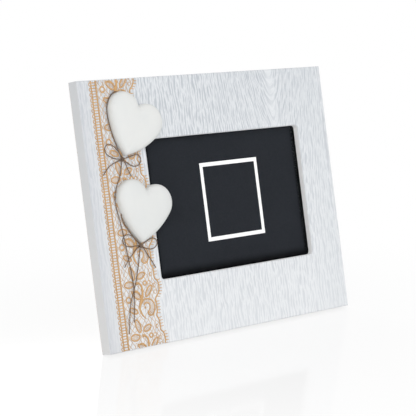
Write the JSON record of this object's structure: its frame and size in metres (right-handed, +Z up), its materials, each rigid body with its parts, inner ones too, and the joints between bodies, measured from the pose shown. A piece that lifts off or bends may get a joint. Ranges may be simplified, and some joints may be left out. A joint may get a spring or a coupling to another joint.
{
  "type": "photo frame with applied hearts",
  "caption": "Free-standing landscape photo frame with a lace band, twine bows and puffy hearts on its left margin, a glazed rear-loading picture recess and a folding easel strut.",
  "frame": {"origin": "bottom centre of the whole frame's box as it stands on its strut, on the surface that it stands on", "axes": "+X to the right along the frame's width as seen from the front, +Y from the front to the back, +Z up"},
  "size_m": [0.225, 0.0564, 0.1761],
  "materials": {
    "whitewashed_wood": "pale cool-grey whitewash over vertical grain, satin",
    "clear_glass": "clear, polished",
    "black_card": "matt black card with a plain white outline",
    "back_board": "dark fibreboard, matt",
    "zinc_steel": "zinc-plated pressed steel",
    "white_heart": "matt white, slightly uneven",
    "cotton_lace": "light brown cotton braid",
    "twine": "dark jute twine, matt"
  },
  "bodies": {
    "frame": {"front_frame": "whitewashed_wood", "glass_pane": "clear_glass", "insert_card": "black_card", "back_panel": "back_board", "turn_button_screws": "zinc_steel", "sawtooth_hanger": "zinc_steel", "hanger_nails": "zinc_steel", "hinge_panel_leaf": "zinc_steel", "hinge_pin": "zinc_steel", "hinge_panel_rivets": "zinc_steel", "upper_heart": "white_heart", "lower_heart": "white_heart", "lace_band": "cotton_lace", "upper_knot": "twine", "lower_knot": "twine", "upper_rim_cord": "twine", "upper_bow_left": "twine", "upper_bow_right": "twine", "link_cord": "twine", "lower_rim_cord": "twine", "lower_bow_left": "twine", "lower_bow_right": "twine", "tail_cord": "twine"},
    "strut": {"easel_strut": "back_board", "hinge_strut_leaf": "zinc_steel", "hinge_strut_rivets": "zinc_steel"},
    "button_lower_left": {"turn_button_lower_left": "zinc_steel"},
    "button_upper_left": {"turn_button_upper_left": "zinc_steel"},
    "button_lower_right": {"turn_button_lower_right": "zinc_steel"},
    "button_upper_right": {"turn_button_upper_right": "zinc_steel"}
  },
  "joints": [
    {"name": "strut_swing", "type": "hinge", "parent": "frame", "child": "strut", "pos_m": [0.01025, 0.00677, 0.12332], "axis": [1, 0, 0], "range_deg": [-20, 0]},
    {"name": "button_lower_left_turn", "type": "hinge", "parent": "frame", "child": "button_lower_left", "pos_m": [-0.07175, -0.00619, 0.06165], "axis": [0, 0.9829, -0.184], "continuous": true},
    {"name": "button_upper_left_turn", "type": "hinge", "parent": "frame", "child": "button_upper_left", "pos_m": [-0.07175, 0.00337, 0.11276], "axis": [0, 0.9829, -0.184], "continuous": true},
    {"name": "button_lower_right_turn", "type": "hinge", "parent": "frame", "child": "button_lower_right", "pos_m": [0.09225, -0.00619, 0.06165], "axis": [0, 0.9829, -0.184], "continuous": true},
    {"name": "button_upper_right_turn", "type": "hinge", "parent": "frame", "child": "button_upper_right", "pos_m": [0.09225, 0.00337, 0.11276], "axis": [0, 0.9829, -0.184], "continuous": true}
  ]
}
